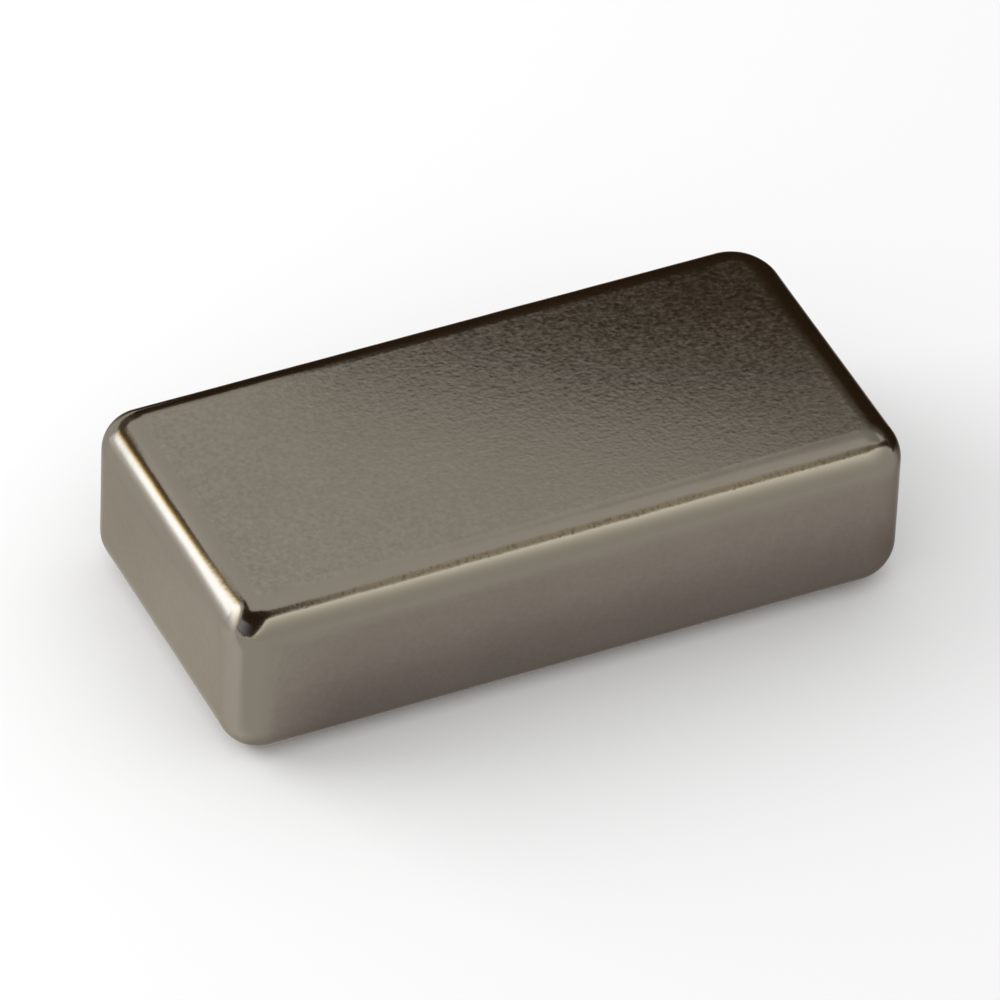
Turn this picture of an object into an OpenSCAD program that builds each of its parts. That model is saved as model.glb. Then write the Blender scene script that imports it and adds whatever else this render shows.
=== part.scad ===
// Block magnet: one sintered block with every edge tumbled round, plated with nickel all over.
// X runs along the length, Y across the width and Z through the thickness, from pole to pole.
// The origin is at the middle of the bottom pole face, so the block stands on Z = 0.

/* [Block] */
// Length over the two ends
block_length = 20; // [12:0.5:60]
// Width over the two long sides
block_width = 10; // [6:0.5:30]
// Thickness over the two pole faces
block_thickness = 5; // [3:0.25:15]

/* [Rounding] */
// Radius of the edges that run round the top and the bottom pole face
edge_radius = 1.1; // [0.2:0.05:1.4]
// Radius, seen from above, of the upright corner at the front right
front_right_radius = 1.35; // [1.1:0.05:2.5]
// Radius, seen from above, of the upright corner at the back right
back_right_radius = 1.5; // [1.1:0.05:2.5]
// Radius, seen from above, of the upright corner at the back left
back_left_radius = 1.15; // [1.1:0.05:2.5]
// Radius, seen from above, of the upright corner at the front left
front_left_radius = 1.15; // [1.1:0.05:2.5]

/* [Hidden] */
$fn = 96;
nickel_colour = [0.53, 0.50, 0.46];

// An upright corner is never tighter than the round of the edges that run into it
function upright(radius) = max(radius, edge_radius);

// Upright corners in the order in which the rim passes them, starting at the front right
corner_radii = [
    upright(front_right_radius),
    upright(back_right_radius),
    upright(back_left_radius),
    upright(front_left_radius)
];

// Half the block's size out to each side and along it: right end, back, left end, front
side_out = [block_length / 2, block_width / 2, block_length / 2, block_width / 2];
side_along = [block_width / 2, block_length / 2, block_width / 2, block_length / 2];

// Quarter of a disc in the quadrant that the two signs give, centred at the origin
module quarter_disc(radius, x_sign, y_sign) {
    intersection() {
        circle(radius);
        translate([x_sign < 0 ? -radius : 0, y_sign < 0 ? -radius : 0]) square(radius);
    }
}

// Upright section of the rim: it reaches from x = 0 out to the surface, stands on y = 0,
// and is rounded where the surface turns over into each pole face
module rim_section(reach) {
    square([reach - edge_radius, block_thickness]);
    translate([0, edge_radius]) square([reach, block_thickness - 2 * edge_radius]);
    translate([reach - edge_radius, edge_radius]) quarter_disc(edge_radius, 1, -1);
    translate([reach - edge_radius, block_thickness - edge_radius]) quarter_disc(edge_radius, 1, 1);
}

// Straight run of the rim along one side, from y = from to y = to, filled to the block's middle
module side_run(reach, from, to) {
    translate([0, to, 0]) rotate([90, 0, 0]) linear_extrude(to - from) rim_section(reach);
}

// Quarter turn of the rim at an upright corner, centred at the origin
module corner_turn(radius) {
    rotate_extrude(angle = 90) rim_section(radius);
}

// The whole block: four straight runs of the rim, each followed by the corner at its end
module block_magnet() {
    color(nickel_colour) {
        for (side = [0:3]) {
            start_radius = corner_radii[side];
            end_radius = corner_radii[(side + 1) % 4];
            out = side_out[side];
            along = side_along[side];
            rotate([0, 0, 90 * side]) {
                side_run(out, start_radius - along, along - end_radius);
                translate([out - end_radius, along - end_radius, 0]) corner_turn(end_radius);
            }
        }
    }
}

block_magnet();
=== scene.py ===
"""A nickel-plated block magnet on a white table, laid out as an add-on and run as a script."""

import math

import bpy
import numpy as np
from mathutils import Matrix, Vector, noise


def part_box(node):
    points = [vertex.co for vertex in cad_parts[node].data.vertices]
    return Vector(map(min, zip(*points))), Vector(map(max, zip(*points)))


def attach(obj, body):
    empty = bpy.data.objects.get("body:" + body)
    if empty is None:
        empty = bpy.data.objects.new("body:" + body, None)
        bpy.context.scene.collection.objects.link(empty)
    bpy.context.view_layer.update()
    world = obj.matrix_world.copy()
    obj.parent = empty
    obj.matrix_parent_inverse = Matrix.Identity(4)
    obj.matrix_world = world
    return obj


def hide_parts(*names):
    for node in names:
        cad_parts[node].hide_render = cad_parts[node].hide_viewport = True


bl_info = {
    "name": "Block Magnet",
    "version": (1, 0, 0),
    "blender": (4, 5, 0),
    "location": "3D View > Sidebar > Magnet",
    "description": "Builds a tumbled, nickel-plated block magnet and the small studio it stands in",
    "category": "Object",
}

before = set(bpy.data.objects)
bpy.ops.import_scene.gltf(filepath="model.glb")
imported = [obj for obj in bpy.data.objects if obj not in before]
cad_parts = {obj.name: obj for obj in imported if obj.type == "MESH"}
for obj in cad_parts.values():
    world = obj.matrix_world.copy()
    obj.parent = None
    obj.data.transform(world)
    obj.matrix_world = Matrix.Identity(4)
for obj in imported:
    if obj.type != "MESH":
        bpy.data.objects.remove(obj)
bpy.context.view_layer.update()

NODE = "block_magnet"
BODY = "root"
MM = 0.001
BLOCK_LOW, BLOCK_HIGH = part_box(NODE)

# Half the block's length and width, and the height of its top face, in millimetres
HALF_LENGTH, HALF_WIDTH, TOP = (round(side / MM, 3) for side in BLOCK_HIGH)

# Middles of the two rounded front corners of the top face, in millimetres
CORNER_INSET, CORNER_DROP = 0.7, 0.3
FRONT_LEFT = (CORNER_INSET - HALF_LENGTH, CORNER_INSET - HALF_WIDTH, TOP - CORNER_DROP)
FRONT_RIGHT = (HALF_LENGTH - CORNER_INSET, CORNER_INSET - HALF_WIDTH, TOP - CORNER_DROP)

# How soon a surface counts as round where it leaves a flat: a power, and a gain
ROUND_POWER, ROUND_GAIN = 8, 2.2

# The line of pits on the rim, along which a ragged dark band of painted shade lies too: its middle
# and its reach to each side, in degrees round from the face, and the share of it that is missing along the
# left end
PIT_AND_PAINTED_LINE, PIT_AND_PAINTED_LINE_REACH, PIT_AND_PAINTED_LINE_GAP = 34.5, 5.5, 0.8

# Degrees by which the grain of the faces runs on over an edge, and how many more at the right end
GRAIN_OVER_EDGE, GRAIN_OVER_RIGHT = 1, 15

# Strength of the strip light at which its cards have the brightness that is written for them
FULL_STRIP_LIGHT = 5.0


class BlockSizes(bpy.types.PropertyGroup):
    """Sizes of the block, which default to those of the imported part"""

    length: bpy.props.FloatProperty(
        name="Length",
        description="Size over the two ends",
        default=BLOCK_HIGH.x - BLOCK_LOW.x,
        unit="LENGTH",
    )
    width: bpy.props.FloatProperty(
        name="Width",
        description="Size over the two long sides",
        default=BLOCK_HIGH.y - BLOCK_LOW.y,
        unit="LENGTH",
    )
    thickness: bpy.props.FloatProperty(
        name="Thickness",
        description="Size over the two pole faces",
        default=BLOCK_HIGH.z - BLOCK_LOW.z,
        unit="LENGTH",
    )
    edge_radius: bpy.props.FloatProperty(
        name="Edge Radius",
        description="Radius of the edges round both pole faces",
        default=1.1 * MM,
        unit="LENGTH",
    )
    corner_radii: bpy.props.FloatVectorProperty(
        name="Corner Radii",
        description="Radii seen from above: back right, back left, front left, front right",
        size=4,
        default=(1.5 * MM, 1.15 * MM, 1.15 * MM, 1.35 * MM),
        unit="LENGTH",
    )
    step: bpy.props.FloatProperty(
        name="Mesh Step",
        description="Spacing of the mesh along the rim",
        default=0.14 * MM,
        unit="LENGTH",
    )
    wander: bpy.props.FloatProperty(
        name="Wander",
        description="How far tumbling leaves the rim from its true line, in or out",
        default=0.006 * MM,
        unit="LENGTH",
    )
    wander_length: bpy.props.FloatProperty(
        name="Wander Length",
        description="Distance over which the rim wanders in and out",
        default=1.7 * MM,
        unit="LENGTH",
    )


class PlateFinish(bpy.types.PropertyGroup):
    """Colour and grain of the nickel plate"""

    colour: bpy.props.FloatVectorProperty(
        name="Nickel",
        description="Colour of the plate on the flat faces",
        size=3,
        default=(0.236, 0.211, 0.173),
        subtype="COLOR",
    )
    worn_colour: bpy.props.FloatVectorProperty(
        name="Rubbed Nickel",
        description="Colour of the plate where the edges are rubbed bright",
        size=3,
        default=(0.240, 0.215, 0.176),
        subtype="COLOR",
    )
    # Also the colour of the ragged dark band along the rim's line of pits: painted shade that deepens the
    # dark line the rim mirrors there
    pit_and_painted_line_colour: bpy.props.FloatVectorProperty(
        name="Specks",
        description="Colour of the tiny pits in the plate",
        size=3,
        default=(0.045, 0.036, 0.024),
        subtype="COLOR",
    )
    edge_tint: bpy.props.FloatVectorProperty(
        name="Grazing Tint",
        description="Tint of what the plate mirrors at a grazing angle",
        size=3,
        default=(0.62, 0.60, 0.56),
        subtype="COLOR",
    )
    flat_roughness: bpy.props.FloatProperty(
        name="Face Roughness",
        description="Roughness of the flat faces",
        default=0.175,
        subtype="FACTOR",
    )
    edge_roughness: bpy.props.FloatProperty(
        name="Edge Roughness",
        description="Roughness of the rounded edges",
        default=0.14,
        subtype="FACTOR",
    )
    grain_depth: bpy.props.FloatProperty(
        name="Grain Depth",
        description="Height of the fine orange-peel grain",
        default=0.0034 * MM,
        unit="LENGTH",
    )
    grain_size: bpy.props.FloatProperty(
        name="Grain Size",
        description="Distance between the lumps of the grain",
        default=0.12 * MM,
        unit="LENGTH",
    )


class StudioSetup(bpy.types.PropertyGroup):
    """Camera, light, cards and table"""

    azimuth: bpy.props.FloatProperty(
        name="Camera Azimuth",
        description="Direction of the camera round the block, from the front towards the right",
        default=math.radians(-26.369),
        unit="ROTATION",
    )
    elevation: bpy.props.FloatProperty(
        name="Camera Elevation",
        description="Height of the camera above the horizon",
        default=math.radians(40.574),
        unit="ROTATION",
    )
    roll: bpy.props.FloatProperty(
        name="Camera Roll",
        description="Turn of the camera about its own line of sight",
        default=math.radians(2.561),
        unit="ROTATION",
    )
    distance: bpy.props.FloatProperty(
        name="Camera Distance",
        description="Distance from the camera to the middle of the block",
        default=325.5 * MM,
        unit="LENGTH",
    )
    focal_length: bpy.props.FloatProperty(
        name="Focal Length",
        description="Focal length in millimetres on a sensor 36 mm wide",
        default=434.2,
        subtype="NONE",
    )
    aim: bpy.props.FloatVectorProperty(
        name="Aim",
        description="How far right and up the block's middle lies from the middle of the picture",
        size=2,
        default=(0.030 * MM, 0.166 * MM),
        unit="LENGTH",
    )
    table_colour: bpy.props.FloatVectorProperty(
        name="Table",
        description="Colour of the table",
        size=3,
        default=(0.90, 0.90, 0.90),
        subtype="COLOR",
    )
    room_colour: bpy.props.FloatVectorProperty(
        name="Dark Cards",
        description="Colour of the dark cards that the plate mirrors",
        size=3,
        default=(0.068, 0.042, 0.022),
        subtype="COLOR",
    )
    fill_strength: bpy.props.FloatProperty(
        name="Fill",
        description="Brightness of the white surroundings on the table",
        default=0.92,
    )
    key_strength: bpy.props.FloatProperty(
        name="Strip Light",
        description="Brightness of the strip light at the back left, where 1 is white",
        default=FULL_STRIP_LIGHT,
    )
    front_strength: bpy.props.FloatProperty(
        name="Front Light",
        description="Brightness of the upper edge of the front light, where 1 is white",
        default=2.25,
    )


class Field:
    """A number that varies over a surface: it wraps a socket, and arithmetic on it adds nodes"""

    def __init__(self, shader, socket):
        self.shader = shader
        self.socket = socket

    def _maths(self, operation, *inputs):
        made = self.shader.node("ShaderNodeMath", {"operation": operation}, dict(enumerate(inputs)))
        return Field(self.shader, made.outputs[0])

    def __add__(self, other):
        return self._maths("ADD", self, other)

    def __radd__(self, other):
        return self._maths("ADD", other, self)

    def __sub__(self, other):
        return self._maths("SUBTRACT", self, other)

    def __rsub__(self, other):
        return self._maths("SUBTRACT", other, self)

    def __mul__(self, other):
        return self._maths("MULTIPLY", self, other)

    def __rmul__(self, other):
        return self._maths("MULTIPLY", other, self)


class Shader:
    """The node tree of one material or world"""

    def __init__(self, tree):
        self.tree = tree
        tree.nodes.clear()

    def node(self, kind, settings=None, values=None):
        """Adds a node: its settings are set first, then its sockets get values or links"""
        made = self.tree.nodes.new(kind)
        for name, value in (settings or {}).items():
            setattr(made, name, value)
        for name, value in (values or {}).items():
            self.feed(made.inputs[name], value)
        return made

    def feed(self, socket, value):
        """Links a field or an output to a socket, or sets the socket to a number or a colour"""
        if isinstance(value, Field):
            value = value.socket
        if isinstance(value, bpy.types.NodeSocket):
            self.tree.links.new(value, socket)
        elif hasattr(value, "__len__") and len(value) == 3 and socket.type == "RGBA":
            socket.default_value = (*value, 1.0)
        else:
            socket.default_value = value

    def noise(self, point, spacing, detail, roughness=0.5):
        """Smooth noise between 0 and 1, with about one lump in each spacing, in millimetres"""
        values = {"Vector": point, "Scale": 1 / spacing, "Detail": detail, "Roughness": roughness}
        made = self.node("ShaderNodeTexNoise", {"noise_dimensions": "3D"}, values)
        return Field(self, made.outputs[0])

    def smooth_step(self, field, low, high):
        """0 below low and 1 above high, with a smooth change between them"""
        values = {"Value": field, "From Min": low, "From Max": high}
        made = self.node("ShaderNodeMapRange", {"interpolation_type": "SMOOTHSTEP"}, values)
        return Field(self, made.outputs[0])

    def mix(self, factor, first, second):
        """The first colour where factor is 0, and the second where it is 1"""
        mixed = self.node("ShaderNodeMix", {"data_type": "RGBA"}, {0: factor, 6: first, 7: second})
        return mixed.outputs[2]

    def attribute(self, name):
        """A number that the mesh stores at its points"""
        settings = {"attribute_type": "GEOMETRY", "attribute_name": name}
        return Field(self, self.node("ShaderNodeAttribute", settings).outputs["Fac"])

    def finish(self, shader_node, kind="ShaderNodeOutputMaterial"):
        """Joins the last shader node to the output"""
        self.node(kind, values={"Surface": shader_node.outputs[0]})


def new_shader(name):
    """A material and the means to fill its node tree"""
    material = bpy.data.materials.new(name)
    material.use_nodes = True
    return material, Shader(material.node_tree)


def scattered_dots(s, point):
    """1 in the middle of a few small scattered dots, and 0 between them"""
    cells_per_mm = 5.5
    values = {"Vector": point, "Scale": cells_per_mm, "Randomness": 1.0}
    cells = s.node("ShaderNodeTexVoronoi", {"feature": "F1", "distance": "EUCLIDEAN"}, values)
    pick = s.node("ShaderNodeSeparateColor", None, {0: cells.outputs["Color"]})
    chosen = s.smooth_step(Field(s, pick.outputs[0]), 0.42, 0.46)
    dot = 1 - s.smooth_step(Field(s, cells.outputs["Distance"]), 0.12, 0.32)
    return dot * chosen


def nickel_plate(finish):
    """Satin nickel: a fine orange-peel grain on the faces, smoother and brighter edges, a few pits, and a
    ragged band of painted shade along the dark line that the rim mirrors
    """
    material, s = new_shader("nickel_plate")
    place = s.node("ShaderNodeTexCoord").outputs["Object"]
    scaled = s.node("ShaderNodeVectorMath", {"operation": "SCALE"}, {"Vector": place, "Scale": 1 / MM})
    point = scaled.outputs[0]
    rounded = s.attribute("rounded")
    flat = 1 - rounded
    face = s.attribute("pole_face")
    rim_line = s.attribute("rim_line")

    # Grain and swell shape the surface, and the other three change its tone and gloss
    grain_mm = finish.grain_size / MM
    grain = s.noise(point, grain_mm, 1.0, 0.45)
    swell = s.noise(point, grain_mm * 2.2, 1.0, 0.5)
    mottle = s.noise(point, grain_mm * 1.25, 2.0, 0.6)
    patches = s.noise(point, 1.6, 3.0, 0.55)
    drift = s.noise(point, 7.0, 1.0, 0.5)

    # Pits lie along the line where the rim turns over. Between them a ragged dark band is painted there:
    # painted shade that deepens the dark line the rim mirrors
    pits = scattered_dots(s, point) * rim_line
    painted_dark_line = s.smooth_step(s.noise(point, 0.13, 2.0, 0.65), 0.50, 0.62) * rim_line

    height = (grain * 0.60 + swell * 0.50) * (0.45 + flat * 0.25 + face * 0.30) - pits * 0.5
    relief = {"Strength": 1.0, "Distance": finish.grain_depth, "Height": height}
    bump = s.node("ShaderNodeBump", None, relief)

    tone = 0.5 + (patches - 0.5) * 0.5 + (drift - 0.5) * 0.4
    tone = tone + (mottle - 0.5) * (0.3 + flat * 0.4 + face * 1.8)
    contrast = 0.14
    dull = tuple((1 - contrast) * channel for channel in finish.colour)
    bright = tuple((1 + contrast) * channel for channel in finish.colour)
    face_colour = s.mix(tone, dull, bright)
    rubbed = s.mix(rounded * 0.9, face_colour, finish.worn_colour)
    # The ragged band is painted shade on the dark line that the rim mirrors, in the pits' colour
    with_painted_line = s.mix(painted_dark_line * 0.52, rubbed, finish.pit_and_painted_line_colour)
    colour = s.mix(pits * 0.8, with_painted_line, finish.pit_and_painted_line_colour)

    span = finish.flat_roughness - finish.edge_roughness
    roughness = finish.edge_roughness + flat * span + pits * 0.2
    roughness = roughness + (patches - 0.5) * 0.04 + (mottle - 0.5) * (0.04 + face * 0.16)

    plate = s.node(
        "ShaderNodeBsdfPrincipled",
        None,
        {
            "Base Color": colour,
            "Metallic": 1.0,
            "Roughness": roughness,
            "Specular Tint": finish.edge_tint,
            "Normal": bump.outputs[0],
        },
    )
    s.finish(plate)
    return material


def rim_outline(sizes):
    """Points round the block seen from above, their outward directions, and each corner's middle"""
    corner_fineness = 1.4
    half_x, half_y = sizes.length / 2, sizes.width / 2
    signs = ((1, 1), (-1, 1), (-1, -1), (1, -1))
    radii = tuple(sizes.corner_radii)
    centres = [
        Vector((sign_x * (half_x - radius), sign_y * (half_y - radius)))
        for (sign_x, sign_y), radius in zip(signs, radii)
    ]
    points, outward, middles = [], [], []
    for index, (centre, radius) in enumerate(zip(centres, radii)):
        turns = 2 * max(4, round(radius * math.pi / 4 / sizes.step * corner_fineness))
        middles.append(len(points) + turns // 2)
        for turn in range(turns + 1):
            angle = math.pi / 2 * (index + turn / turns)
            out = Vector((math.cos(angle), math.sin(angle)))
            points.append(centre + radius * out)
            outward.append(out)
        following = (index + 1) % 4
        start = points[-1]
        end = centres[following] + radii[following] * outward[-1]
        steps = max(2, round((end - start).length / sizes.step))
        for number in range(1, steps):
            points.append(start.lerp(end, number / steps))
            outward.append(outward[-1])
    return points, outward, middles


def rim_section(sizes):
    """Inset and height of the points of the rim's section, from the top face down to the bottom"""
    round_fineness = 1.6
    radius, top = sizes.edge_radius, sizes.thickness
    turns = max(8, round(radius * math.pi / 2 / sizes.step * round_fineness))
    upper = []
    for turn in range(turns + 1):
        angle = math.pi / 2 * turn / turns
        upper.append((radius * (1 - math.sin(angle)), top - radius * (1 - math.cos(angle))))
    side = top - 2 * radius
    steps = max(3, round(side / sizes.step))
    middle = [(0.0, top - radius - side * number / steps) for number in range(1, steps)]
    lower = [(inset, top - height) for inset, height in reversed(upper)]
    return upper + middle + lower


def loop_sides(loop, middles):
    """The four sides of a closed loop, each from the middle of one corner to that of the next"""
    count = len(loop)
    sides = []
    for index in range(4):
        start, end = middles[index], middles[(index + 1) % 4]
        sides.append([loop[(start + step) % count] for step in range((end - start) % count + 1)])
    return sides


def steps_on_corner(directions):
    """How many steps a side takes before its outward direction stays the same"""
    return next(step for step in range(1, len(directions)) if directions[step] == directions[step + 1])


def equalise(points, outward, middles):
    """Gives opposite sides of the outline the same number of points, so that a grid can fill a face"""
    runs = loop_sides(range(len(points)), middles)
    even_points, even_outward, even_middles = [], [], []
    for index, run in enumerate(runs):
        directions = [outward[position] for position in run]
        start = steps_on_corner(directions) + 1
        end = len(run) - 1 - steps_on_corner(directions[::-1])
        first, last = points[run[start]], points[run[end]]
        steps = end - start + max(0, len(runs[(index + 2) % 4]) - len(run))
        stretch = [first.lerp(last, number / steps) for number in range(1, steps)]
        even_middles.append(len(even_points))
        even_points += [points[position] for position in run[: start + 1]]
        even_points += stretch
        even_points += [points[position] for position in run[end:-1]]
        even_outward += directions[: start + 1]
        even_outward += [directions[start]] * len(stretch)
        even_outward += directions[end:-1]
    return even_points, even_outward, even_middles


def wandered(point, out, sizes):
    """A surface point moved in or out a little, the way a tumbled edge wanders"""
    times_finer, finer_share, inward = 2.9, 0.35, 0.2
    place = point / sizes.wander_length
    slow = noise.noise(place)
    fast = noise.noise(place * times_finer + Vector((7.3, 1.9, 4.1)))
    return point + out * sizes.wander * (slow + finer_share * fast - inward)


def rim_point(sizes, point, out, inset, height):
    """A place on the rim, and how round it is there, how pitted and how much of the painted dark band it
    carries, and how far the face's grain runs
    """
    radius, middle = sizes.edge_radius, sizes.thickness / 2
    level = height - middle
    rise = math.copysign(min(1.0, max(0.0, abs(level) - (middle - radius)) / radius), level)
    reach = math.sqrt(max(0.0, 1 - rise * rise))
    turned = math.degrees(math.acos(abs(rise)))

    edge_round = (1 - max(reach, abs(rise)) ** ROUND_POWER) * ROUND_GAIN
    corner_round = (1 - max(abs(out.x), abs(out.y)) ** ROUND_POWER) * ROUND_GAIN * reach
    rounded = min(1.0, max(edge_round, corner_round))
    rim_line = max(0.0, 1 - abs(turned - PIT_AND_PAINTED_LINE) / PIT_AND_PAINTED_LINE_REACH)
    rim_line *= 1 - PIT_AND_PAINTED_LINE_GAP * max(0.0, -out.x)
    pole_face = max(0.0, 1 - turned / (GRAIN_OVER_EDGE + GRAIN_OVER_RIGHT * max(0.0, out.x)))

    place = Vector((point.x - out.x * inset, point.y - out.y * inset, height))
    if rounded > 0:
        place = wandered(place, Vector((out.x * reach, out.y * reach, rise)), sizes)
    return place, rounded, rim_line, pole_face


def patch_points(sides):
    """Grid of points that fills the patch between four sides, blended in from all of them"""
    back, left, front, right = [np.array(side) for side in sides]
    front, right = front[::-1], right[::-1]
    across, down = len(back), len(left)
    grid = np.zeros((down, across, 3))
    for row in range(down):
        v = row / (down - 1)
        for column in range(across):
            u = column / (across - 1)
            along_v = (1 - v) * back[column] + v * front[column]
            along_u = (1 - u) * right[row] + u * left[row]
            corners = (
                (1 - u) * (1 - v) * back[0]
                + u * (1 - v) * back[-1]
                + (1 - u) * v * front[0]
                + u * v * front[-1]
            )
            grid[row, column] = along_v + along_u - corners
    return grid


def fill_face(places, faces, ring, middles, flipped):
    """Fills a ring of points with a grid of new points, and adds the quads between them all"""
    sides = loop_sides(ring, middles)
    grid = patch_points([[places[number] for number in side] for side in sides])
    down, across = grid.shape[:2]
    numbers = np.zeros((down, across), int)
    numbers[0, :] = sides[0]
    numbers[:, -1] = sides[1]
    numbers[-1, ::-1] = sides[2]
    numbers[::-1, 0] = sides[3]
    for row in range(1, down - 1):
        for column in range(1, across - 1):
            numbers[row, column] = len(places)
            places.append(Vector(grid[row, column]))
    numbers = numbers.tolist()
    for upper, lower in zip(numbers, numbers[1:]):
        for column in range(across - 1):
            quad = (upper[column], upper[column + 1], lower[column + 1], lower[column])
            faces.append(quad[::-1] if flipped else quad)


def block_mesh(sizes):
    """The rounded block as one closed mesh of quads, marked with what the plate is like where"""
    points, outward, middles = equalise(*rim_outline(sizes))
    section = rim_section(sizes)
    around = len(points)
    bottom = (len(section) - 1) * around
    places, faces = [], []
    marks = {"rounded": [], "rim_line": [], "pole_face": []}
    for inset, height in section:
        for point, out in zip(points, outward):
            place, *values = rim_point(sizes, point, out, inset, height)
            places.append(place)
            for mark, value in zip(marks.values(), values):
                mark.append(value)
    for upper in range(0, bottom, around):
        lower = upper + around
        for column in range(around):
            following = (column + 1) % around
            faces.append((upper + column, lower + column, lower + following, upper + following))

    fill_face(places, faces, range(around), middles, False)
    fill_face(places, faces, range(bottom, bottom + around), middles, True)
    inner = len(places) - len(section) * around
    for name, value in (("rounded", 0.0), ("rim_line", 0.0), ("pole_face", 1.0)):
        marks[name] += [value] * inner

    mesh = bpy.data.meshes.new("magnet_block")
    mesh.from_pydata([tuple(place) for place in places], [], faces)
    mesh.validate()
    for name, values in marks.items():
        mesh.attributes.new(name, "FLOAT", "POINT").data.foreach_set("value", values)
    mesh.shade_smooth()
    return mesh


class MAGNET_OT_block(bpy.types.Operator):
    """Builds the plated block in place of the plain solid"""

    bl_idname = "magnet.block"
    bl_label = "Build Block"

    def execute(self, context):
        sizes = context.scene.block_sizes
        if min(sizes.corner_radii) < sizes.edge_radius:
            raise ValueError("each corner radius has to be at least the edge radius")
        block = bpy.data.objects.new("magnet_block", block_mesh(sizes))
        context.scene.collection.objects.link(block)
        block.data.materials.append(nickel_plate(context.scene.plate_finish))
        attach(block, BODY)
        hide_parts(NODE)
        return {"FINISHED"}


def toward(azimuth, elevation):
    """Unit direction from the block, with azimuth 0 to the front and 90 to the right, in degrees"""
    a, e = math.radians(azimuth), math.radians(elevation)
    return Vector((math.sin(a) * math.cos(e), -math.cos(a) * math.cos(e), math.sin(e)))


def seen_at(origin, distance, azimuth, elevation):
    """Place at a distance from a point, both in millimetres, in the direction given in degrees"""
    return Vector(origin) * MM + distance * MM * toward(azimuth, elevation)


def seen_from(origin, distance, directions):
    """Places at one distance from a point, in the directions given as (azimuth, elevation) pairs"""
    return [seen_at(origin, distance, azimuth, elevation) for azimuth, elevation in directions]


def mirror_place(eye, place, normal, distance):
    """Where a card has to be for the camera to see it in the plate at a place with that normal"""
    sight = (eye - place).normalized()
    return place + (2 * sight.dot(normal) * normal - sight) * distance


def ramp(value, stops):
    """Value of a ramp that is straight between its (position, height) stops"""
    return float(np.interp(value, [stop[0] for stop in stops], [stop[1] for stop in stops]))


def blend(share, first, second):
    """The first colour where share is 0, and the second where it is 1"""
    return tuple((1 - share) * one + share * other for one, other in zip(first, second))


def grey(level):
    """A grey in which 1 is white"""
    return (level, level, level)


def glow_material():
    """Light that a card gives off, in the colour stored on its mesh"""
    material, s = new_shader("card_glow")
    settings = {"attribute_type": "GEOMETRY", "attribute_name": "glow"}
    colour = s.node("ShaderNodeAttribute", settings).outputs["Color"]
    s.finish(s.node("ShaderNodeEmission", None, {"Color": colour, "Strength": 1.0}))
    material.cycles.emission_sampling = "NONE"
    return material


def graded_card(name, rows):
    """A card of graded brightness which only the plate mirrors, from rows of (place, glow) pairs"""
    places = [tuple(place) for row in rows for place, _ in row]
    glows = [channel for row in rows for _, glow in row for channel in (*glow, 1.0)]
    columns = len(rows[0])
    faces = []
    for row in range(len(rows) - 1):
        for column in range(columns - 1):
            first = row * columns + column
            faces.append((first, first + 1, first + columns + 1, first + columns))
    mesh = bpy.data.meshes.new(name)
    mesh.from_pydata(places, [], faces)
    mesh.attributes.new("glow", "FLOAT_COLOR", "POINT").data.foreach_set("color", glows)
    mesh.materials.append(bpy.data.materials.get("card_glow") or glow_material())
    card = bpy.data.objects.new(name, mesh)
    bpy.context.scene.collection.objects.link(card)
    card.visible_camera = False
    card.visible_diffuse = False
    card.visible_shadow = False
    card.visible_transmission = False


def dark_screen(dark):
    """A dark screen behind and to the right, paler at its left end and along its top at the right"""
    pale_grey = (1, 0.97, 0.93)
    # x, y, top, where the top's tone ends, bottom, how pale the top is, how pale the rest is
    folds = (
        (-34, 45.5, 36, 30, 21, 0.14, 0.14),
        (-26, 47, 38, 30, 18, 0.14, 0.14),
        (-18, 46.8, 37, 30, 14.5, 0.14, 0.14),
        (-9.5, 46, 38, 30, 13, 0.14, 0.12),
        (-5, 45.7, 38, 28, 12.5, 0.10, 0.06),
        (-1, 45.4, 37, 26, 11, 0.04, 0.02),
        (3, 45, 34, 22, 6, 0, 0),
        (5, 44.2, 29, 18, 2, 0, 0),
        (7.5, 42.2, 23, 15, 0, 0, 0),
        (10.5, 39.8, 27, 18, 0, 0, 0),
        (12, 38.5, 36.2, 28, 0, 0, 0),
        (17, 34.5, 36, 30, 0, 0, 0),
        (24, 28.9, 36, 32, 0, 0.27, 0),
        (28.5, 25.2, 36, 23, 0, 0.38, 0),
        (31.3, 23, 37, 18, 0, 0.36, 0),
        (35, 20, 38, 22, 0, 0.32, 0),
        (40, 12.6, 34, 15, 0, 0.36, 0),
        (48.2, 2.6, 22.5, 11, 0, 0.3, 0),
        (54, -5.2, 19.7, 8, 0, 0.2, 0),
    )
    rows = [[], [], []]
    for x, y, top, middle, bottom, top_share, share in folds:
        for row, height, pale in zip(rows, (top, middle, bottom), (top_share, share, share)):
            row.append((Vector((x, y, height)) * MM, blend(pale, dark, pale_grey)))
    graded_card("dark_screen", rows)


def grey_veil():
    """A grey veil that hangs above the right half of the screen and fades out upwards"""
    # x, y, and how dense the veil is
    folds = ((22, 31, 0), (25, 28.5, 0.4), (28.5, 25.5, 1), (35, 20.4, 1.1), (54, -7.5, 1.1))
    rows = []
    for height, depth in ((34, 0.42), (52, 0.36), (70, 0.24), (92, 0)):
        rows.append([(Vector((x, y, height)) * MM, grey(1 - depth * dense)) for x, y, dense in folds])
    graded_card("grey_veil", rows)


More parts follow.
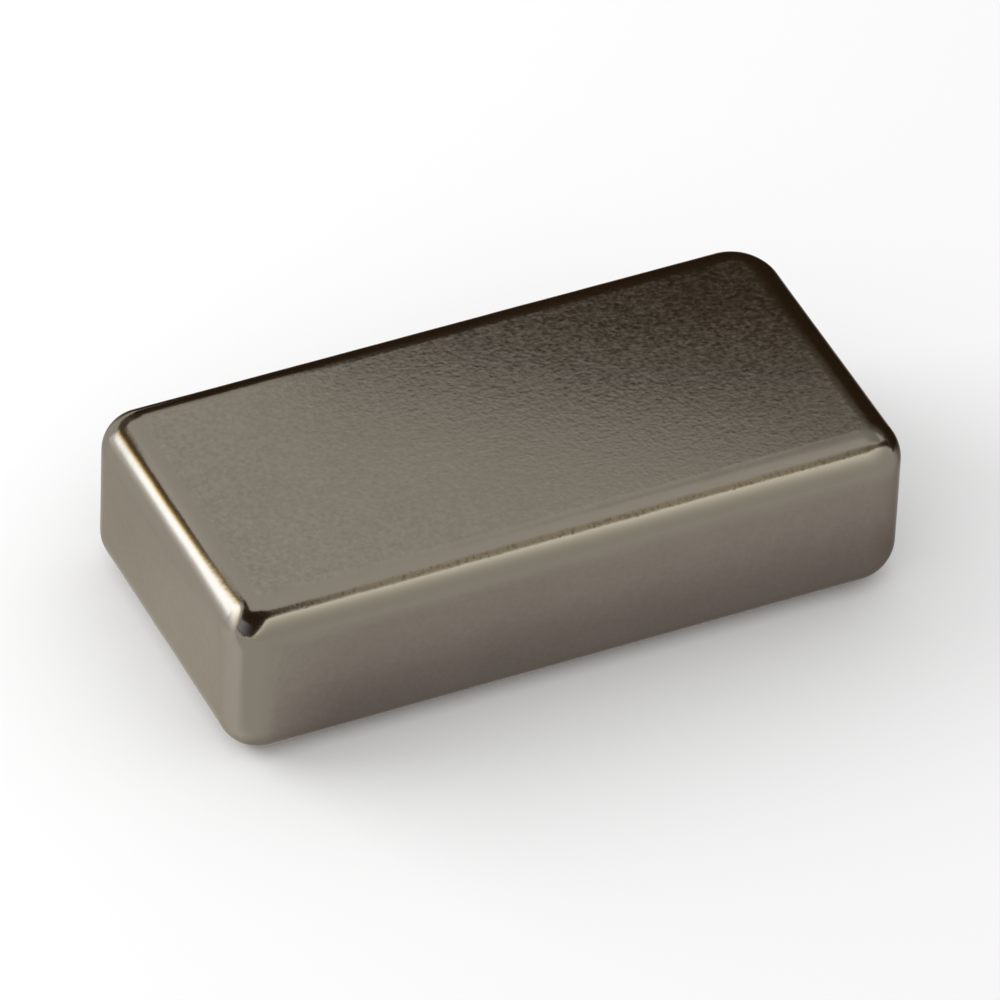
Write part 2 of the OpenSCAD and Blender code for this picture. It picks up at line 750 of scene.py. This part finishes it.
def strip_light_edge(studio, edge_radius):
    """The strip light and the dark gap above it, laid out as the left edge of the block mirrors them"""
    lit = studio.key_strength / FULL_STRIP_LIGHT
    brown = (0.20, 0.13, 0.06)
    gold = (1.35 * lit, 0.86 * lit, 0.27 * lit)
    bright_gold = (3.3 * lit, 2.75 * lit, 1.2 * lit)
    full = (4.3 * lit, 1.09 * 4.3 * lit, 1.25 * 4.3 * lit)
    soft = (3.0 * lit, 1.09 * 3.0 * lit, 1.25 * 3.0 * lit)
    plain = [grey(level) for level in (1.0, 1.05, 1.22)]
    fading = [grey(1 + extra * lit) for extra in (0.75, 0.3, 0.14)]
    bands = [*plain, brown, brown, gold, bright_gold, full, full, soft, *fading]
    light = (gold, bright_gold, full, soft)
    unlit = grey(1.1)

    # The place along the edge, where the gap and the light start in degrees round from the top
    # face, how much wider than usual the light's lower side is, and how far it is faded in
    columns = (
        (-5.2, 22, 30.5, 1, 1),
        (-3.85, 23.5, 32, 1, 1),
        (-3.4, 28, 34, 0.7, 1),
        (-2, 31, 39, 0, 1),
        (0, 30.5, 39, 0, 1),
        (2, 32, 40, 0, 1),
        (3.2, 30.5, 40.5, 0, 1),
        (3.85, 27, 40.5, -0.3, 0.8),
        (4.6, 25, 40.5, -0.7, 0.6),
        (6.5, 22, 40, -1, 0.35),
        (10, 16, 39, -1.2, 0.03),
    )
    eye = camera_place(studio)
    distance = 25 * MM
    rows = [[] for _ in bands]
    for y, gap, start, spread, share in columns:
        turns = [16, 21, gap - 1.2, gap + 0.5, start - 3, start - 1.2, start + 0.9, start + 3.2]
        turns += [49 + spread, 51.5 + 2 * spread, 54.5 + 3 * spread, 58 + 4 * spread, 61 + 6 * spread]
        for row, turn, band in zip(rows, turns, bands):
            out, up = math.sin(math.radians(turn)), math.cos(math.radians(turn))
            x, z = -HALF_LENGTH + edge_radius * (1 - out), TOP - edge_radius * (1 - up)
            spot = mirror_place(eye, Vector((x, y, z)) * MM, Vector((-out, 0, up)), distance)
            row.append((spot, blend(share, unlit, band) if band in light else band))
    graded_card("strip_light_edge", rows)


def strip_light_corner(studio):
    """The rest of the strip light, which the front left corner mirrors, with a warm upper edge"""
    lit = studio.key_strength / FULL_STRIP_LIGHT
    unlit, distance = 1.1, 55
    # Degrees below the upper edge, brightness, and how warm the light is
    drops = (
        (0, 2.2, 1),
        (2.5, 4.0, 0.6),
        (5, 4.4, 0),
        (17, 4.4, 0),
        (23, 3.7, 0),
        (29, 2.7, 0),
        (35, 1.8, 0),
        (42, 1.35, 0),
        (52, 1.14, 0),
    )
    # Azimuth and elevation of the upper edge, and how far the light is faded in
    columns = (
        (-150, 34, 1),
        (-142, 39, 1),
        (-133, 43, 1),
        (-124, 43, 0.9),
        (-114, 40, 0.66),
        (-105, 35, 0.42),
        (-98, 29, 0.22),
        (-92, 22, 0.05),
    )
    rows = []
    for drop, strength, warmth in drops:
        row = []
        for azimuth, top, share in columns:
            level = unlit + (strength * lit - unlit) * share
            cool = blend(share, grey(level), (level, 1.05 * level, 1.14 * level))
            glow = blend(warmth, cool, (level, 0.82 * level, 0.5 * level))
            row.append((seen_at(FRONT_LEFT, distance, azimuth, top - drop), glow))
        rows.append(row)
    graded_card("strip_light_corner", rows)


def dark_front(dark):
    """The dark round the camera, as the front left corner mirrors it"""
    distance = 110
    inner = ((-160, 46), (-147, 56), (-128, 63), (-108, 65), (-92, 70), (-70, 78), (-40, 82))
    inner += ((-15, 84), (10, 82), (34, 78), (54, 67))
    outer = ((-158, 40), (-147, 46), (-131, 51), (-114, 47), (-97, 38), (-89, 10), (-66, 1))
    outer += ((-44, 5), (-25, 30), (-2, 51.5), (35, 55))
    sides = [seen_from(FRONT_LEFT, distance, side) for side in (inner, outer)]
    graded_card("dark_front", [[(place, dark) for place in side] for side in sides])


def grey_patch(dark):
    """A small grey patch inside the dark that the front left corner mirrors"""
    distance = 70
    upper = seen_from(FRONT_LEFT, distance, ((-98, 37), (-84, 37), (-70, 38), (-58, 39), (-47, 38)))
    lower = seen_from(FRONT_LEFT, distance, ((-92, 13), (-82, 10), (-68, 5), (-55, 5), (-44, 12)))
    glows = ((0.50, 0.52, 0.56), (0.62, 0.66, 0.74), (0.36, 0.38, 0.44), (0.16, 0.16, 0.18), dark)
    graded_card("grey_patch", [list(zip(upper, glows)), list(zip(lower, glows))])


def tan_strip(dark):
    """A thin tan strip that hangs along the front edge, with a soft upper side and dark ends"""
    tan = (0.79, 0.71, 0.55)
    along = (-12, -0.8, 0.2, 1.4, 3.5, 16.5, 18)
    # Each y and then each z of the strip's upper side, of the line where it is full, and of its lower side
    sides = (
        ((-9.4, -9.6, -10.2, -9.9, -8.9, -8.6, -8.6), (28.1, 28.1, 27.9, 28, 28.2, 28.3, 28.3)),
        ((-10.6, -11.2, -12.2, -12.4, -12, -11.8, -11.8), (27.8, 27.6, 27.3, 27.2, 27.4, 27.4, 27.4)),
        ((-17.6, -17.2, -15.7, -15.7, -15.7, -16.8, -16.9), (24.8, 25, 25.9, 25.9, 25.9, 25.1, 25)),
    )
    # Azimuth and elevation of the rest of each line, as the front right corner mirrors it
    ends = (
        ((77, 48), (85, 37.5), (95, 26), (98, 16)),
        ((75, 47), (83, 36), (92, 24), (94, 14)),
        ((67, 43), (75.5, 32), (84.5, 18), (88, 6)),
    )
    shares = (0, 0.05, 0.55, 0.95, 1, 1, 0.5, 0.38, 0.15, 0, 0)
    distance = 35
    rows = []
    for side, end, fade in zip(sides, ends, (0.8, 0, 0)):
        places = [Vector(place) * MM for place in zip(along, *side)]
        places += seen_from(FRONT_RIGHT, distance, end)
        glows = [blend(fade * share, blend(share, dark, tan), (1, 1, 1)) for share in shares]
        rows.append(list(zip(places, glows)))
    graded_card("tan_strip", rows)


def front_light(studio):
    """The front light: brightest along its upper edge, and a little less than white at its lower one"""
    middle, distance = (0, -HALF_WIDTH, TOP), 120
    bottom, least, steps = -8, 0.86, 10
    # Azimuth and elevation of the upper edge, and how fast the light falls off below it
    upper = ((-62, 2, 4.4), (-44, 9, 4.4), (-25, 34, 4.4), (-6, 52, 4.4), (15, 55, 4.4))
    upper += ((21, 54.4, 4.3), (33, 53, 3.4), (60, 46, 3.8), (80, 33, 4.4))
    rows = []
    for step in range(steps + 1):
        high = 1 - step / steps
        row = []
        for azimuth, top, fall in upper:
            level = least + (studio.front_strength - least) * high ** fall
            glow = (level, level * (1 + 0.01 * high), level * (1 - 0.06 * high))
            row.append((seen_at(middle, distance, azimuth, bottom + (top - bottom) * high), glow))
        rows.append(row)
    graded_card("front_light", rows)


def table_glow(x, y, dark):
    """What the plate mirrors of the table at a place in millimetres from the block's middle"""
    ahead, right, behind = -HALF_WIDTH - y, x - HALF_LENGTH, y - HALF_WIDTH

    # The block's own shade, deepest close to its foot, in front and to the right of it
    deepest = 0.465
    shades = ((1.1, deepest), (1.7, 0.425), (2.3, 0.32), (2.95, 0.20), (3.6, 0.15), (4.2, 0.125))
    shades += ((9, 0.075), (16, 0.05))
    shade = ramp(math.hypot(max(0, ahead), 1.25 * max(0, right)), shades)
    inward = x - 0.7 * max(0, ahead)
    shade *= ramp(inward, ((-10, 0), (-9.3, 0.3), (-8.6, 0.6), (-8, 0.8), (-7.2, 1)))
    level = (0.91 - shade) * (1 - 0.16 * ramp(y, ((-5.5, 0), (-2.5, 1))))

    # The light part of the table to the left of the block
    slanted = y - 0.38 * min(0, max(-3, x + 11.3))
    left_levels = ((-5.7, 0.93), (-5.2, 1.05), (-4.6, 1.24), (2, 1.27), (5, 1.13), (30, 1.05))
    beside = ramp(x, ((-10.2, 1), (-9.4, 0)))
    level = (1 - beside) * level + beside * ramp(slanted, left_levels)

    # The dark that takes over behind the block and to the right of it
    to_right = ramp(right, ((3.5, 0), (8, 1))) * ramp(y, ((-3.5, 0), (1, 1)))
    beyond = max(to_right, ramp(behind, ((6, 0), (14, 1))))
    beyond *= ramp(x, ((-8, 0), (-3, 1)))
    tint = blend(min(1, shade / deepest * 1.5) * (1 - beside), (1, 1, 1), (1.015, 0.95, 0.985))
    return blend(beyond, tuple(level * channel for channel in tint), dark)


def table_card(dark):
    """The table as the plate mirrors it: bright on the left, shaded in front, dark behind"""
    lift = 0.02
    steps_x = (-60, -30, -16, -14.3, -13.2, -12, -11, -10.2, -9.8, -9.4, -9, -8.5, -8, -7.5, -7)
    steps_x += (-6.5, -6, -5, -3, 0, 9, 10, 11, 12, 14, 18, 22, 30, 60)
    steps_y = (-60, -20, -12, -9.2, -8.6, -8, -7.6, -7.2, -6.8, -6.4, -6, -5.7, -5.45, -5.2, -4.9)
    steps_y += (-4.6, -4.2, -3, 0, 2, 5, 8, 11, 15, 19, 60)
    rows = []
    for y in steps_y:
        rows.append([(Vector((x, y, lift)) * MM, table_glow(x, y, dark)) for x in steps_x])
    graded_card("table_card", rows)


def add_cards(studio, edge_radius):
    """Cards that give the plate its reflections: dark ones, the two lights, and the table's own"""
    dark = tuple(studio.room_colour)
    dark_screen(dark)
    grey_veil()
    strip_light_edge(studio, edge_radius)
    strip_light_corner(studio)
    dark_front(dark)
    grey_patch(dark)
    tan_strip(dark)
    front_light(studio)
    table_card(dark)


def add_lamp(studio):
    """The strip light's lamp, which casts the block's shadow on the table and isn't mirrored"""
    azimuth, elevation = -128, 24
    width, height, distance = 0.10, 0.045, 0.12
    data = bpy.data.lights.new("strip_light", "AREA")
    data.shape = "RECTANGLE"
    data.size, data.size_y = width, height
    data.energy = studio.key_strength * math.pi * width * height
    lamp = bpy.data.objects.new("strip_light", data)
    bpy.context.scene.collection.objects.link(lamp)
    back = toward(azimuth, elevation)
    lamp.location = Vector((0, 0, BLOCK_HIGH.z)) + back * distance
    lamp.rotation_mode = "QUATERNION"
    lamp.rotation_quaternion = (-back).to_track_quat("-Z", "Y")
    lamp.visible_camera = False
    lamp.visible_glossy = False


def add_table(studio):
    """The white table"""
    half = 0.6
    corners = [(-half, -half, 0), (half, -half, 0), (half, half, 0), (-half, half, 0)]
    mesh = bpy.data.meshes.new("table")
    mesh.from_pydata(corners, [], [(0, 1, 2, 3)])
    material, s = new_shader("table")
    s.finish(s.node("ShaderNodeBsdfDiffuse", None, {"Color": studio.table_colour}))
    mesh.materials.append(material)
    table = bpy.data.objects.new("table", mesh)
    bpy.context.scene.collection.objects.link(table)


def add_surroundings(studio):
    """White surroundings that the camera and the plate see as white, and that light the table"""
    world = bpy.data.worlds.new("surroundings")
    bpy.context.scene.world = world
    world.use_nodes = True
    world.cycles.sampling_method = "NONE"
    s = Shader(world.node_tree)
    path = s.node("ShaderNodeLightPath")
    seen = Field(s, path.outputs["Is Camera Ray"]) + Field(s, path.outputs["Is Glossy Ray"])
    seen = seen + Field(s, path.outputs["Is Transmission Ray"])
    strength = studio.fill_strength + seen * (1 - studio.fill_strength)
    sky = s.node("ShaderNodeBackground", None, {"Color": (1, 1, 1), "Strength": strength})
    s.finish(sky, "ShaderNodeOutputWorld")


def camera_axes(studio):
    """Directions to the right, up and back of the camera"""
    back = toward(math.degrees(studio.azimuth), math.degrees(studio.elevation))
    level = Vector((0, 0, 1)).cross(back).normalized()
    upright = back.cross(level)
    right = math.cos(studio.roll) * level + math.sin(studio.roll) * upright
    up = math.cos(studio.roll) * upright - math.sin(studio.roll) * level
    return right, up, back


def camera_place(studio):
    """Where the camera stands"""
    right, up, back = camera_axes(studio)
    middle = (BLOCK_LOW + BLOCK_HIGH) / 2
    return middle + back * studio.distance - right * studio.aim[0] - up * studio.aim[1]


def add_camera(studio):
    """The camera at the angle from which the block is seen"""
    data = bpy.data.cameras.new("camera")
    data.sensor_width = 36
    data.lens = studio.focal_length
    data.clip_start, data.clip_end = 0.01, 5
    turn = Matrix(camera_axes(studio)).transposed().to_4x4()
    camera = bpy.data.objects.new("camera", data)
    bpy.context.scene.collection.objects.link(camera)
    camera.matrix_world = Matrix.Translation(camera_place(studio)) @ turn
    bpy.context.scene.camera = camera


class MAGNET_OT_studio(bpy.types.Operator):
    """Adds the table, the surroundings, the cards that the plate mirrors, the lamp and the camera"""

    bl_idname = "magnet.studio"
    bl_label = "Set Up Studio"

    def execute(self, context):
        studio = context.scene.studio_setup
        edge_radius = round(context.scene.block_sizes.edge_radius / MM, 4)
        add_table(studio)
        add_surroundings(studio)
        add_cards(studio, edge_radius)
        add_lamp(studio)
        add_camera(studio)
        context.scene.view_settings.view_transform = "Standard"
        return {"FINISHED"}


class MAGNET_PT_panel(bpy.types.Panel):
    """Lists the steps and the values behind them"""

    bl_idname = "MAGNET_PT_panel"
    bl_label = "Block Magnet"
    bl_space_type = "VIEW_3D"
    bl_region_type = "UI"
    bl_category = "Magnet"

    def draw(self, context):
        scene = context.scene
        for operator, groups in (
            (MAGNET_OT_block, (scene.block_sizes, scene.plate_finish)),
            (MAGNET_OT_studio, (scene.studio_setup,)),
        ):
            self.layout.operator(operator.bl_idname)
            for group in groups:
                for name in group.__annotations__:
                    self.layout.prop(group, name)


CLASSES = (BlockSizes, PlateFinish, StudioSetup, MAGNET_OT_block, MAGNET_OT_studio, MAGNET_PT_panel)


def register():
    for item in CLASSES:
        bpy.utils.register_class(item)
    bpy.types.Scene.block_sizes = bpy.props.PointerProperty(type=BlockSizes)
    bpy.types.Scene.plate_finish = bpy.props.PointerProperty(type=PlateFinish)
    bpy.types.Scene.studio_setup = bpy.props.PointerProperty(type=StudioSetup)


def unregister():
    del bpy.types.Scene.studio_setup
    del bpy.types.Scene.plate_finish
    del bpy.types.Scene.block_sizes
    for item in reversed(CLASSES):
        bpy.utils.unregister_class(item)


def main():
    register()
    bpy.ops.magnet.block()
    bpy.ops.magnet.studio()


if __name__ == "__main__":
    main()
